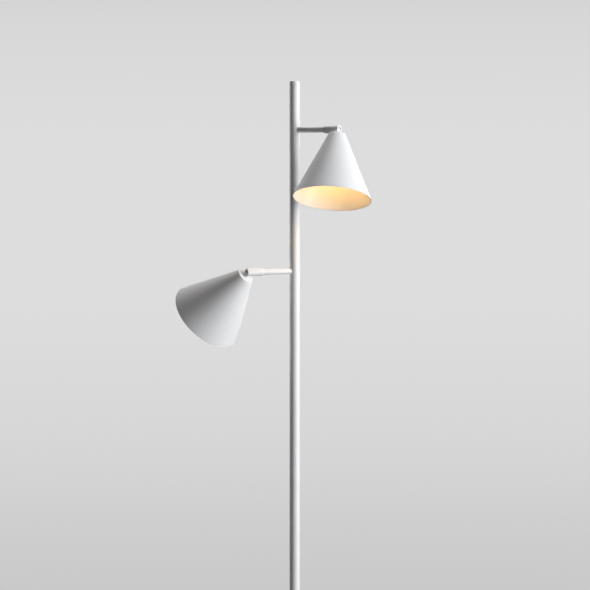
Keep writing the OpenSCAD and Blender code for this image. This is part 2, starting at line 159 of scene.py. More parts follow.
def buildEdgeWearAndSheen():
    # mask of worn edges, which the white paints also use for a painted edge highlight: the mesh's own edge
    # attribute, broken up by a noise
    tree, given, result = newGroup("edgeWearAndSheen", "Mask", Scale=250, Amount=0.5)
    edge = addNode(tree, "ShaderNodeAttribute", -600, 200, attribute_name="edge")
    wearAndSheen = rangeNode(tree, -350, -200, objectNoise(tree, -600, -200, given["Scale"], 5), 0.42, 0.62)
    both = mathNode(tree, "MULTIPLY", -100, 0, edge.outputs["Fac"], wearAndSheen.outputs["Result"])
    tree.links.new(mathNode(tree, "MULTIPLY", 150, 0, both, given["Amount"], use_clamp=True), result)
    return tree


def buildDust():
    # mask of settled dust: where the surface faces up, in soft patches
    tree, given, result = newGroup("settledDust", "Mask", Scale=40, Amount=0.2)
    facing = addNode(tree, "ShaderNodeNewGeometry", -900, 200)
    split = addNode(tree, "ShaderNodeSeparateXYZ", -650, 200)
    tree.links.new(facing.outputs["Normal"], split.inputs[0])
    upward = rangeNode(tree, -400, 200, split.outputs["Z"], 0.55, 0.98)
    patches = objectNoise(tree, -650, -200, given["Scale"], 6)
    both = mathNode(tree, "MULTIPLY", -100, 0, upward.outputs["Result"], patches)
    tree.links.new(mathNode(tree, "MULTIPLY", 150, 0, both, given["Amount"], use_clamp=True), result)
    return tree


effects = {
    "tone": buildToneDrift(),
    "rough": buildRoughDrift(),
    "peel": buildPeel(),
    "wearSheen": buildEdgeWearAndSheen(),
    "dust": buildDust(),
}
print("shader groups:", ", ".join(effects))


def effect(tree, name, x, y, **values):
    node = addNode(tree, "ShaderNodeGroup", x, y, node_tree=effects[name])
    for key, value in values.items():
        node.inputs[key.replace("_", " ")].default_value = value
    return node.outputs[0]


def newMaterial(name, **plain):
    material = bpy.data.materials.new(name)
    material.use_nodes = True
    tree = material.node_tree
    tree.nodes.clear()
    shader = addNode(tree, "ShaderNodeBsdfPrincipled", 500, 0)
    out = addNode(tree, "ShaderNodeOutputMaterial", 850, 0)
    tree.links.new(shader.outputs["BSDF"], out.inputs["Surface"])
    for key, value in plain.items():
        shader.inputs[key.replace("_", " ")].default_value = value
    return material, tree, shader


def mixColor(tree, x, y, low, high, mask):
    # low and high are colours or other nodes' sockets
    mix = addNode(tree, "ShaderNodeMix", x, y, data_type="RGBA")
    for socket, source in ((mix.inputs[6], low), (mix.inputs[7], high)):
        if isinstance(source, tuple):
            socket.default_value = source
        else:
            tree.links.new(source, socket)
    tree.links.new(mask, mix.inputs[0])
    return mix.outputs[2]


def bumpFrom(tree, shader, x, y, height, depth):
    # depth is the height of the relief, in metres
    bump = addNode(tree, "ShaderNodeBump", x, y)
    bump.inputs["Strength"].default_value = 1
    bump.inputs["Distance"].default_value = depth
    tree.links.new(height, bump.inputs["Height"])
    tree.links.new(bump.outputs["Normal"], shader.inputs["Normal"])


# the worn-edge colour of the white paint is lighter than the paint itself: a painted edge highlight
powder = {"color": (0.83, 0.832, 0.84, 1), "drift": 0.045, "driftScale": 9,
          "wornSheen": (0.9, 0.9, 0.9, 1), "wearSheen": 0.35, "wearSheenScale": 300,
          "dust": (0.6, 0.585, 0.56, 1), "dustScale": 60, "dustRough": 0.5,
          "low": 0.4, "high": 0.5, "roughScale": 180,
          "swells": 650, "grains": 2600, "grainShare": 0.25, "relief": 0.03 * mm}


def makePowder(name, dustAmount, **changes):
    # satin powder coat: slight orange peel, worn edges painted a little brighter as a painted edge highlight,
    # dust where it faces up
    look = {**powder, **changes}
    material, tree, shader = newMaterial(name, IOR=1.5)
    tone = effect(tree, "tone", -500, 300, Color=look["color"], Scale=look["driftScale"],
                  Amount=look["drift"])
    wearSheen = effect(tree, "wearSheen", -500, 100, Scale=look["wearSheenScale"], Amount=look["wearSheen"])
    dust = effect(tree, "dust", -500, -100, Scale=look["dustScale"], Amount=dustAmount)
    # worn edges get the lighter colour: wear together with a painted edge highlight
    edged = mixColor(tree, -150, 250, tone, look["wornSheen"], wearSheen)
    dusty = mixColor(tree, 100, 200, edged, look["dust"], dust)
    tree.links.new(dusty, shader.inputs["Base Color"])
    rough = effect(tree, "rough", -500, -300, Scale=look["roughScale"], Low=look["low"], High=look["high"])
    duller = mathNode(tree, "MULTIPLY_ADD", 0, -250, dust, look["dustRough"], rough)
    tree.links.new(duller, shader.inputs["Roughness"])
    peel = effect(tree, "peel", -500, -500, Swells=look["swells"], Grains=look["grains"],
                  Grain_share=look["grainShare"])
    bumpFrom(tree, shader, 200, -450, peel, look["relief"])
    return material


plastic = {"driftScale": 70, "roughScale": 400, "grainShare": 0.6}


def makePlastic(name, color, low, high, relief, swells=1200, drift=0.05):
    # moulded plastic: fine spark-eroded grain and a slight drift of tone
    material, tree, shader = newMaterial(name, IOR=1.46)
    tone = effect(tree, "tone", -400, 200, Color=color, Scale=plastic["driftScale"], Amount=drift)
    tree.links.new(tone, shader.inputs["Base Color"])
    rough = effect(tree, "rough", -400, 0, Scale=plastic["roughScale"], Low=low, High=high)
    tree.links.new(rough, shader.inputs["Roughness"])
    peel = effect(tree, "peel", -400, -250, Swells=swells, Grains=3 * swells,
                  Grain_share=plastic["grainShare"])
    bumpFrom(tree, shader, 100, -250, peel, relief)
    return material


metal = {"driftScale": 120, "drift": 0.16, "wearSheenScale": 600, "wearSheen": 0.8, "roughScale": 500,
         "swells": 2500, "grains": 7000, "grainShare": 0.7}


def makeMetal(name, color, low, high, relief, wornSheen):
    # bare or plated metal: a fine grain, and edges polished by handling
    material, tree, shader = newMaterial(name, Metallic=1.0)
    tone = effect(tree, "tone", -500, 300, Color=color, Scale=metal["driftScale"], Amount=metal["drift"])
    wearSheen = effect(tree, "wearSheen", -500, 100, Scale=metal["wearSheenScale"], Amount=metal["wearSheen"])
    tree.links.new(mixColor(tree, -100, 250, tone, wornSheen, wearSheen), shader.inputs["Base Color"])
    rough = effect(tree, "rough", -500, -100, Scale=metal["roughScale"], Low=low, High=high)
    tree.links.new(rough, shader.inputs["Roughness"])
    grain = effect(tree, "peel", -500, -350, Swells=metal["swells"], Grains=metal["grains"],
                   Grain_share=metal["grainShare"])
    bumpFrom(tree, shader, 100, -300, grain, relief)
    return material


foam = {"wallColor": (0.12, 0.12, 0.123, 1), "shadedCellColor": (0.05, 0.05, 0.052, 1), "cells": 1500,
        "wallShare": 0.25, "low": 0.85, "high": 0.97, "roughScale": 200, "relief": -0.12 * mm}


def makeFoam():
    # closed-cell foam: dark, matt, with small open cells at the cut face, painted darker inside as painted
    # shade
    material, tree, shader = newMaterial("padFoam", IOR=1.4)
    place = addNode(tree, "ShaderNodeTexCoord", -900, 0)
    cells = addNode(tree, "ShaderNodeTexVoronoi", -650, 0, feature="DISTANCE_TO_EDGE")
    cells.inputs["Scale"].default_value = foam["cells"]
    tree.links.new(place.outputs["Object"], cells.inputs["Vector"])
    inCell = rangeNode(tree, -400, 0, cells.outputs["Distance"], 0, foam["wallShare"]).outputs["Result"]
    # the sunk cells get a darker colour than the walls: painted shade in the pits
    color = mixColor(tree, -100, 200, foam["wallColor"], foam["shadedCellColor"], inCell)
    tree.links.new(color, shader.inputs["Base Color"])
    rough = effect(tree, "rough", -400, -250, Scale=foam["roughScale"], Low=foam["low"], High=foam["high"])
    tree.links.new(rough, shader.inputs["Roughness"])
    bumpFrom(tree, shader, 100, -200, inCell, foam["relief"])
    return material


opal = {"color": (1.0, 0.86, 0.62, 1), "drift": 0.04, "driftScale": 60,
        "hot": (1.0, 0.78, 0.45, 1), "cool": (1.0, 0.62, 0.3, 1), "strength": 1.0, "cloudScale": 45,
        "low": 0.3, "high": 0.42, "roughScale": 300,
        "swells": 1800, "grains": 6000, "grainShare": 0.8, "relief": 0.01 * mm}


def makeOpalGlass():
    # etched opal glass that glows: the tone drifts a little, and the etching is a very fine grain
    material, tree, shader = newMaterial("litOpal", IOR=1.5, Emission_Strength=opal["strength"])
    tone = effect(tree, "tone", -500, 300, Color=opal["color"], Scale=opal["driftScale"],
                  Amount=opal["drift"])
    tree.links.new(tone, shader.inputs["Base Color"])
    place = addNode(tree, "ShaderNodeTexCoord", -900, 0)
    cloud = addNode(tree, "ShaderNodeTexNoise", -650, 0)
    cloud.inputs["Scale"].default_value = opal["cloudScale"]
    tree.links.new(place.outputs["Object"], cloud.inputs["Vector"])
    glow = mixColor(tree, -150, 50, opal["hot"], opal["cool"], cloud.outputs["Fac"])
    tree.links.new(glow, shader.inputs["Emission Color"])
    rough = effect(tree, "rough", -500, -200, Scale=opal["roughScale"], Low=opal["low"], High=opal["high"])
    tree.links.new(rough, shader.inputs["Roughness"])
    etching = effect(tree, "peel", -500, -450, Swells=opal["swells"], Grains=opal["grains"],
                     Grain_share=opal["grainShare"])
    bumpFrom(tree, shader, 100, -350, etching, opal["relief"])
    return material


# plastics: colour, lowest and highest roughness, relief; metals: the same and the colour of rubbed edges
finishes = {
    "powder": makePowder("whitePowder", 0.12),
    "shade": makePowder("shadePowder", 0.1, swells=600),
    "base": makePowder("basePowder", 0.3, low=0.42, high=0.54),
    "foam": makeFoam(),
    "whitePlastic": makePlastic("whitePlastic", (0.72, 0.72, 0.715, 1), 0.42, 0.55, 0.01 * mm),
    "holder": makePlastic("holderPlastic", (0.7, 0.69, 0.65, 1), 0.38, 0.5, 0.012 * mm),
    "nylon": makePlastic("bushNylon", (0.74, 0.71, 0.62, 1), 0.34, 0.46, 0.008 * mm, drift=0.1),
    "silicone": makePlastic("leadSilicone", (0.7, 0.7, 0.68, 1), 0.48, 0.6, 0.01 * mm, swells=900),
    "zinc": makeMetal("zincSteel", (0.56, 0.57, 0.58, 1), 0.28, 0.44, 0.004 * mm, (0.74, 0.75, 0.77, 1)),
    "brass": makeMetal("pressedBrass", (0.72, 0.53, 0.24, 1), 0.26, 0.42, 0.004 * mm, (0.86, 0.7, 0.4, 1)),
    "bulbMetal": makeMetal("rolledAluminium", (0.72, 0.72, 0.74, 1), 0.22, 0.36, 0.006 * mm,
                           (0.88, 0.88, 0.9, 1)),
    "opal": makeOpalGlass(),
    "solder": makeMetal("tipSolder", (0.5, 0.5, 0.52, 1), 0.35, 0.5, 0.01 * mm, (0.7, 0.7, 0.72, 1)),
    "blackGlass": makePlastic("tipInsulator", (0.02, 0.02, 0.022, 1), 0.12, 0.22, 0.006 * mm),
}
print("finishes:", len(finishes))


rowShares = {"mostCut": 0.42, "close": 0.04, "inner": 0.2}      # shares of a straight stretch


def softOutline(corners, closed=True, steps=6, rests=6):
    # corners are (radius, height, cut): the outline leaves each corner's straight lines a distance cut away
    # and runs between them on the curve (1-s)^2 A + 2s(1-s) P + s^2 B. The third column, how much the edge is
    # worn and lit by a painted edge highlight, is 1 at such a curve's middle and 0 on the straight stretches.
    points = np.array([corner[:2] for corner in corners], float)
    cuts = np.array([corner[2] if len(corner) > 2 else 0 for corner in corners], float)
    back, ahead = np.roll(points, 1, 0) - points, np.roll(points, -1, 0) - points
    backLength, aheadLength = np.linalg.norm(back, axis=1), np.linalg.norm(ahead, axis=1)
    cuts = np.minimum(cuts, rowShares["mostCut"] * np.minimum(backLength, aheadLength))
    if not closed:
        cuts[[0, -1]] = 0
    before = points + back * (cuts / backLength)[:, None]
    after = points + ahead * (cuts / aheadLength)[:, None]
    s = np.linspace(0, 1, steps)[None, :, None]
    curves = (1 - s) ** 2 * before[:, None] + 2 * s * (1 - s) * points[:, None] + s ** 2 * after[:, None]
    # each straight stretch gets rows close to its ends, so that smooth shading stays flat between them
    close, inner = rowShares["close"], rowShares["inner"]
    share = np.concatenate([[close], np.linspace(inner, 1 - inner, rests - 2), [1 - close]])[None, :, None]
    straight = after[:, None] + share * (np.roll(before, -1, 0) - after)[:, None]
    wearAndSheen = np.concatenate([np.repeat((4 * s * (1 - s))[0, :, 0][None], len(points), 0),
                           np.zeros((len(points), rests))], 1)
    rows = np.concatenate([curves, straight], 1)
    rows = np.concatenate([rows, wearAndSheen[:, :, None]], 2).reshape(-1, 3)
    if not closed:
        rows = rows[steps - 1:-rests - steps + 1]
    return rows


def straightRows(radius, start, stop, count):
    # even rows on a straight stretch, for a surface that a shape function then works
    return np.stack([np.full(count, radius), np.linspace(start, stop, count), np.zeros(count)], 1)


def surfaceMesh(name, grid, edge, closed=True):
    # grid[i, j] is the point at row i of the outline and column j round the piece, which closes on itself.
    # The outline closes too, or else its first and last rows are single points. edge tells how much each row
    # is worn, which white paint shows as a painted edge highlight.
    rows, columns = grid.shape[:2]
    index = np.arange(rows * columns).reshape(rows, columns)
    v = np.linspace(0, 1, rows + 1 if closed else rows)
    u = np.linspace(0, 1, columns + 1)
    if closed:
        index = np.vstack([index, index[:1]])
    else:
        index[0], index[-1] = index[0, 0], index[-1, 0]
    index = np.hstack([index, index[:, :1]])
    uv = np.stack(np.broadcast_arrays(u[None, :], v[:, None]), -1)

    def corners(table):
        return np.stack([table[:-1, :-1], table[1:, :-1], table[1:, 1:], table[:-1, 1:]], 2).reshape(
            (-1, 4) + table.shape[2:])

    quads, quadUv = corners(index), corners(uv)
    points = grid.reshape(-1, 3)
    p = points[quads]
    volume = (np.cross(p[:, 1] - p[:, 0], p[:, 2] - p[:, 0]) * p[:, 0]).sum() \
        + (np.cross(p[:, 2] - p[:, 0], p[:, 3] - p[:, 0]) * p[:, 0]).sum()
    if volume < 0:      # turn the surface the right way out
        quads, quadUv = quads[:, ::-1], quadUv[:, ::-1]
    faces, faceUv = [], []
    for face, corner in zip(quads.tolist(), quadUv.tolist()):
        keep = [k for k in range(4) if face[k] != face[k - 1]]      # a quad at a pole has two corners in one
        if len(keep) > 2:
            faces.append([face[k] for k in keep])
            faceUv.extend(corner[k] for k in keep)
    used = np.unique(np.concatenate([np.array(face) for face in faces]))
    renumber = np.zeros(len(points), int)
    renumber[used] = np.arange(len(used))
    mesh = bpy.data.meshes.new(name)
    mesh.from_pydata(points[used].tolist(), [], [renumber[face].tolist() for face in faces])
    mesh.uv_layers.new(name="outline").data.foreach_set("uv", np.array(faceUv, np.float32).ravel())
    wearAndSheen = np.broadcast_to(edge[:, None], (rows, columns)).reshape(-1)[used]
    mesh.attributes.new("edge", "FLOAT", "POINT").data.foreach_set("value", wearAndSheen.astype(np.float32))
    mesh.shade_smooth()
    mesh.set_sharp_from_angle(angle=radians(50))
    return mesh


def placed(grid, place):
    matrix = np.array(place)
    return grid @ matrix[:3, :3].T + matrix[:3, 3]


def turnedMesh(name, outline, place, sides=96, closed=True, shape=None):
    # solid of revolution: (r cos a, r sin a, z), where shape may change r and z with the angle a
    a = np.linspace(0, 2 * np.pi, sides, endpoint=False)
    r, z, angle = np.broadcast_arrays(outline[:, 0][:, None], outline[:, 1][:, None], a[None, :])
    if shape:
        r, z = shape(r.copy(), z.copy(), angle)
    grid = np.stack([r * np.cos(angle), r * np.sin(angle), z], -1)
    return surfaceMesh(name, placed(grid, place), outline[:, 2], closed)


def addPiece(mesh, body, slot, finish, *replaced):
    # the piece has its mesh's name
    piece = bpy.data.objects.new(mesh.name, mesh)
    bpy.context.scene.collection.objects.link(piece)
    piece.data.materials.clear()
    piece.data.materials.append(finishes[finish])
    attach(piece, body)
    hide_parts(*replaced)
    return piece


def fadeIn(z, start, run):
    # 0 before start, rising evenly to 1 over the run
    return np.clip((z - start) / run, 0, 1)


shade = {"openingR": 75 * mm, "topR": 16 * mm, "height": 130.4 * mm, "drop": 9.2 * mm, "wall": 1.0 * mm,
         "topRound": 1.5 * mm, "holeR": 5.05 * mm, "holeRound": 0.15 * mm, "lip": 0.4 * mm,
         "innerRound": 0.6 * mm, "wornSheen": 2 * mm, "sides": 160}


def makeShade(side):
    # spun cone: flat top with a rounded edge, even wall, and a lip rounded to half the wall
    slope = (shade["openingR"] - shade["topR"]) / shade["height"]
    wallRun = shade["wall"] * hypot(1, slope)
    top, low = -shade["drop"], -shade["drop"] - shade["height"]
    underTop = top - shade["wall"]
    innerTopR = shade["topR"] - wallRun + shade["wall"] * slope
    outline = softOutline([
        (shade["holeR"], underTop, shade["holeRound"]), (shade["holeR"], top, shade["holeRound"]),
        (shade["topR"], top, shade["topRound"]), (shade["openingR"], low, shade["lip"]),
        (shade["openingR"] - wallRun, low, shade["lip"]),
        (innerTopR, underTop, shade["innerRound"])], rests=10)
    outline[:, 2] *= outline[:, 1] < low + shade["wornSheen"]      # only the lip is worn and painted lighter, a painted edge highlight
    mesh = turnedMesh(side + "_shade_cone", outline, places[side]["head"], shade["sides"])
    addPiece(mesh, side + "_head", "shade_paint", "shade", side + "_shade")


for side in places:
    makeShade(side)
print("shades")


# "channel" is half the width of the cord's channel, and "sideTop" the top of its opening in the plate's side
plate = {"radius": 135 * mm, "low": 2 * mm, "top": 12 * mm, "topRound": 2.3 * mm, "lowRound": 0.6 * mm,
         "seatR": 10.05 * mm, "seat": 9.5 * mm, "seatRound": 0.3 * mm, "boreR": 8.5 * mm,
         "recessR": 28.3 * mm, "recessTop": 6.8 * mm, "recessRound": 0.2 * mm,
         "channel": 5 * mm, "channelTop": 8.5 * mm, "channelWall": 0.02 * mm, "roofStep": 0.2 * mm,
         "sideTop": 9.6 * mm, "rim": 1 * mm, "wornSheen": 5 * mm, "sides": 252}


def makeBasePlate():
    # turned disc, whose first four columns run parallel across the cord's channel: there its low rows
    # are raised
    outline = softOutline([
        (plate["boreR"], plate["recessTop"]), (plate["boreR"], plate["seat"]),
        (plate["seatR"], plate["seat"]), (plate["seatR"], plate["top"], plate["seatRound"]),
        (plate["radius"], plate["top"], plate["topRound"]),
        (plate["radius"], plate["low"], plate["lowRound"]),
        (plate["recessR"], plate["low"], plate["recessRound"]),
        (plate["recessR"], plate["recessTop"])], rests=7)
    r, z = outline[:, 0][:, None], outline[:, 1][:, None]
    across = plate["channel"] * np.array([-1, -0.5, 0.5, 1])[None, :]
    wall = np.arcsin((plate["channel"] + plate["channelWall"]) / r)
    share = np.linspace(0, 1, plate["sides"])[None, :]
    a = np.concatenate([np.arcsin(across / r), wall + (2 * np.pi - 2 * wall) * share], 1)
    low, roof, recess, seat, side = [plate[k] for k in ("low", "channelTop", "recessTop", "seat", "sideTop")]
    under = np.maximum(np.interp(z, [low, recess, seat], [roof - plate["roofStep"], roof, seat]), z)
    beside = np.maximum(np.interp(z, [low, side], [roof - plate["roofStep"], side]), z)
    raised = np.where(r > plate["radius"] - plate["rim"], beside, under)
    heights = np.concatenate([np.repeat(raised, 4, 1), np.repeat(z, plate["sides"], 1)], 1)
    grid = np.stack([r * np.sin(a), r * np.cos(a), heights], -1)
    # the outer edge is worn and painted lighter, a painted edge highlight
    wornSheen = outline[:, 2] * (outline[:, 0] > plate["radius"] - plate["wornSheen"])
    addPiece(surfaceMesh("base_disc", grid, wornSheen), "stand", "powder_coat", "base", "base_plate")


pad = {"radius": 131 * mm, "top": 2 * mm, "lowRound": 0.5 * mm, "topRound": 0.4 * mm, "sides": 192}


def makeBasePad():
    # die-cut foam disc, its edges slightly pressed in
    outline = softOutline([
        (0, 0), (pad["radius"], 0, pad["lowRound"]), (pad["radius"], pad["top"], pad["topRound"]),
        (0, pad["top"])], closed=False, rests=10)
    mesh = turnedMesh("base_foam", outline, standing, pad["sides"], closed=False)
    addPiece(mesh, "stand", "pad", "foam", "base_pad")


pole = {"radius": 10 * mm, "boreR": 8.5 * mm, "low": 9.5 * mm, "top": 1498 * mm, "end": 1500 * mm,
        "plugR": 8.45 * mm, "plug": 8 * mm, "plugRound": 0.5 * mm, "capRound": 0.6 * mm, "seam": 0.12 * mm,
        "edge": 0.2 * mm, "sides": 84, "capSides": 96, "rows": 24,
        "screwHeight": 27 * mm, "screwR": 2.55 * mm, "window": 6 * mm, "pocket": 1.25 * mm}


def makePole():
    # tube with a round pocket at its back for the lock screw. Near the pocket the grid's square rings turn
    # round: a point at (s, h) from its middle moves to (s, h) * m / d, where m is the larger of |s| and |h|
    # and d the distance; the move fades out at the window's edge. Inside the pocket the wall steps inwards.
    radius, hole, window = pole["radius"], pole["screwR"], pole["window"]
    rings = np.array([0.45 * hole, 0.985 * hole, 1.02 * hole, 0.5 * (hole + window), window])
    rings = np.concatenate([-rings[::-1], [0], rings])
    outer = straightRows(radius, 0, 0, len(rings))
    outer[:, 1] = pole["screwHeight"] + rings
    z0, z1 = pole["low"], pole["top"]
    above = straightRows(radius, outer[-1, 1] + 5 * mm, z1 - 8 * mm, pole["rows"])
    below = straightRows(radius, z0 + 1 * mm, outer[0, 1] - 3 * mm, 3)
    ends = softOutline([
        (radius, z1 - 4 * mm), (radius, z1, pole["seam"]), (pole["boreR"], z1, pole["edge"]),
        (pole["boreR"], z0), (radius, z0, pole["edge"]), (radius, z0 + 0.5 * mm)], closed=False)
    outline = np.concatenate([below, outer, above, ends])
    spare = (2 * np.pi - 2 * window / radius) / (pole["sides"] + 1)
    a = np.concatenate([rings / radius, window / radius + spare * np.arange(1, pole["sides"] + 1)])
    r, z, a = np.broadcast_arrays(outline[:, 0][:, None], outline[:, 1][:, None], a[None, :])
    s = radius * ((a + np.pi) % (2 * np.pi) - np.pi)
    h = z - pole["screwHeight"]
    m, d = np.maximum(abs(s), abs(h)), np.maximum(np.hypot(s, h), 1e-9)
    outside = r > pole["boreR"] + 1 * mm
    roundness = np.clip((window - m) / (window - hole), 0, 1) * outside
    move = 1 + roundness * (m / d - 1)
    r = r - pole["pocket"] * ((m < hole) & outside)
    a = np.where(roundness > 0, s * move / radius, a)
    z = np.where(roundness > 0, pole["screwHeight"] + h * move, z)
    grid = np.stack([r * np.sin(a), r * np.cos(a), z], -1)
    addPiece(surfaceMesh("pole_tube", grid, outline[:, 2]), "stand", "powder_coat", "powder", "pole")


def makePoleCap():
    # flush cap: a plug with a softened rim, and a hairline seam where it meets the tube
    top, end, foot = pole["top"], pole["end"], pole["top"] - pole["plug"]
    outline = softOutline([
        (0, end), (pole["radius"], end, pole["capRound"]), (pole["radius"], top, pole["seam"]),
        (pole["plugR"], top), (pole["plugR"], foot, pole["plugRound"]), (0, foot)], closed=False)
    mesh = turnedMesh("pole_end_cap", outline, standing, pole["capSides"], closed=False)
    addPiece(mesh, "stand", "powder_coat", "powder", "pole_cap")


arm = {"start": 7 * mm, "end": 87 * mm, "radius": 5.5 * mm, "boreR": 4 * mm, "fillet": 0.5 * mm,
       "sunk": 0.05 * mm, "clear": 12 * mm, "edge": 0.1 * mm, "endRound": 0.3 * mm, "boreRound": 0.2 * mm,
       "groove": 83.5 * mm, "grooveHalf": 1.2 * mm, "grooveR": 4.7 * mm, "sides": 72,
       "followFrom": 8 * mm, "followTo": 11 * mm}


def makeArmTube(side):
    # tube along the arm. Where it meets the pole, a fillet of paint follows the pole's wall: at the angle a
    # round the arm, that wall stands at the root of (pole radius^2 - (r sin a)^2)
    turn = np.linspace(0, np.pi / 2, 6)
    meet = pole["radius"] - arm["sunk"]
    fillet = np.stack([arm["radius"] + arm["fillet"] * (1 - np.sin(turn)),
                       meet + arm["fillet"] * (1 - np.cos(turn)), np.zeros(6)], 1)
    low, high = arm["groove"] - arm["grooveHalf"], arm["groove"] + arm["grooveHalf"]
    rest = softOutline([
        (arm["radius"], arm["clear"]), (arm["radius"], low, arm["edge"]),
        (arm["grooveR"], low), (arm["grooveR"], high), (arm["radius"], high, arm["edge"]),
        (arm["radius"], arm["end"], arm["endRound"]), (arm["boreR"], arm["end"], arm["boreRound"]),
        (arm["boreR"], arm["start"]), (arm["radius"] + arm["fillet"], arm["start"])], closed=False, rests=7)
    outline = np.concatenate([fillet, rest])

    def followPole(r, x, a):
        wall = np.sqrt(pole["radius"] ** 2 - (np.minimum(r, pole["radius"]) * np.sin(a)) ** 2)
        near = (x > arm["followFrom"]) & (x < arm["followTo"])
        return r, np.where(near, x + wall - pole["radius"], x)

    along = places[side]["arm"] @ alongX
    mesh = turnedMesh(side + "_arm_tube", outline, along, arm["sides"], shape=followPole)
    addPiece(mesh, "stand", "powder_coat", "powder", side + "_arm_rod")


# places along the arm: where the collar begins and meets the sleeve, and its plug's end inside the sleeve
collar = {"start": 69 * mm, "joint": 73 * mm, "plugEnd": 79 * mm, "tipR": 6.2 * mm, "boreR": 5.8 * mm,
          "sleeveR": 7.5 * mm, "plugR": 6.5 * mm, "boreRound": 0.1 * mm, "lipRound": 0.3 * mm,
          "seam": 0.12 * mm, "plugRound": 0.2 * mm, "sides": 72}


def makeCollar(side):
    # tapered collar, turned, with a soft lip round the arm and a hairline seam at the sleeve
    outline = softOutline([
        (collar["boreR"], collar["start"], collar["boreRound"]),
        (collar["tipR"], collar["start"], collar["lipRound"]),
        (collar["sleeveR"], collar["joint"], collar["seam"]), (collar["plugR"], collar["joint"]),
        (collar["plugR"], collar["plugEnd"], collar["plugRound"]), (collar["boreR"], collar["plugEnd"])])
    mesh = turnedMesh(side + "_collar", outline, places[side]["knuckle"] @ alongX, collar["sides"])
    addPiece(mesh, side + "_knuckle", "powder_coat", "powder", side + "_swivel_collar")


# heights are along the head's axis, from the tilt's pivot; the neck leaves the ball at the angle "leave"
bulb = {"neckTop": -50.8 * mm, "neckR": 8 * mm, "ballR": 22.5 * mm, "ballZ": -80.3 * mm, "leave": 143.13,
        "neckReach": 11 * mm, "wall": 0.9 * mm, "sides": 96,
        "baseTop": -32.8 * mm, "baseR": 6.4 * mm, "skirtIn": 0.9 * mm, "crest": 0.4 * mm, "pitch": 2.82 * mm,
        "fadeRun": 2 * mm, "endIn": 1.4 * mm, "endRise": 0.7 * mm, "screwSides": 72,
        "tipTop": -29.8 * mm, "tipR": 3 * mm, "tipSides": 64,
        "solderR": 1.9 * mm, "solderDeep": 0.9 * mm, "solderSides": 48}


def makeBulbGlass(side):
    # ball and neck as one curve: the circle (R sin t, z - R cos t) up to the angle where it leaves the ball,
    # then a Hermite curve with the circle's direction at one end and the neck's at the other.
    # The inside is the same curve, moved in by the wall along its normals.
    t = np.linspace(0, radians(bulb["leave"]), 44)
    ball = np.stack([bulb["ballR"] * np.sin(t), bulb["ballZ"] - bulb["ballR"] * np.cos(t)], 1)
    s = np.linspace(0, 1, 17)[1:, None]
    startWay = bulb["neckReach"] * np.array([cos(t[-1]), sin(t[-1])])
    endWay = bulb["neckReach"] * np.array([0, 1])
    neckEnd = np.array([bulb["neckR"], bulb["neckTop"]])
    neck = (2 * s ** 3 - 3 * s ** 2 + 1) * ball[-1] + (s ** 3 - 2 * s ** 2 + s) * startWay \
        + (3 * s ** 2 - 2 * s ** 3) * neckEnd + (s ** 3 - s ** 2) * endWay
    outer = np.concatenate([ball, neck])
    along = np.gradient(outer, axis=0)
    along /= np.linalg.norm(along, axis=1)[:, None]
    inner = outer + bulb["wall"] * np.stack([-along[:, 1], along[:, 0]], 1)
    inner[0, 0] = 0
    rows = np.concatenate([outer, inner[::-1]])
    outline = np.column_stack([rows, np.zeros(len(rows))])
    mesh = turnedMesh(side + "_globe", outline, places[side]["head"], bulb["sides"], closed=False)
    globe = addPiece(mesh, side + "_head", "bulb_glass", "opal", side + "_bulb_glass")
    globe.visible_shadow = False      # the lamp inside it lights the shade


def makeBulbScrew(side):
    # rolled screw: the radius rises and falls by crest * cos(2 pi z / pitch - a), and fades out at both ends
    low, top, radius = bulb["neckTop"], bulb["baseTop"], bulb["baseR"]
    skirtR, endR, crown = bulb["neckR"] - bulb["skirtIn"], radius - bulb["endIn"], top + bulb["endRise"]
    outline = np.concatenate([
        softOutline([(0, low + 0.6 * mm), (skirtR - 0.3 * mm, low + 0.6 * mm), (skirtR, low),
                     (radius, low + 1 * mm)], closed=False, steps=2, rests=2),
        straightRows(radius, low + 1.3 * mm, top - 0.8 * mm, 96),
        softOutline([(radius, top - 0.5 * mm), (radius, top, 0.8 * mm), (endR, crown, 0.2 * mm), (0, crown)],
                    closed=False, steps=5, rests=3)])

    def thread(r, z, a):
        share = fadeIn(z, low + 1.5 * mm, bulb["fadeRun"]) * fadeIn(-z, 1 * mm - top, bulb["fadeRun"])
        return r + bulb["crest"] * share * np.cos(2 * np.pi * z / bulb["pitch"] - a) * (r > 5 * mm), z

    mesh = turnedMesh(side + "_bulb_screw", outline, places[side]["head"], bulb["screwSides"], closed=False,
                      shape=thread)
    addPiece(mesh, side + "_head", "bulb_metal", "bulbMetal", side + "_bulb_base")


def makeBulbTip(side):
    # black glass cone on the screw's end, and the drop of solder in its middle
    low, top = bulb["baseTop"] + 0.4 * mm, bulb["tipTop"]
    cone = softOutline([(0, low), (bulb["baseR"] - bulb["endIn"], low, 0.3 * mm),
                        (bulb["tipR"], top - 0.5 * mm, 0.4 * mm), (0, top - 0.4 * mm)], closed=False)
    foot = top - bulb["solderDeep"]
    drop = softOutline([(0, foot), (bulb["solderR"], foot, 0.2 * mm),
                        (bulb["solderR"], top, 0.7 * mm), (0, top)], closed=False)
    head = places[side]["head"]
    insulator = turnedMesh(side + "_bulb_insulator", cone, head, bulb["tipSides"], closed=False)
    solder = turnedMesh(side + "_bulb_solder", drop, head, bulb["solderSides"], closed=False)
    addPiece(insulator, side + "_head", "bulb_metal", "blackGlass", side + "_bulb_base")
    addPiece(solder, side + "_head", "bulb_metal", "solder", side + "_bulb_base")


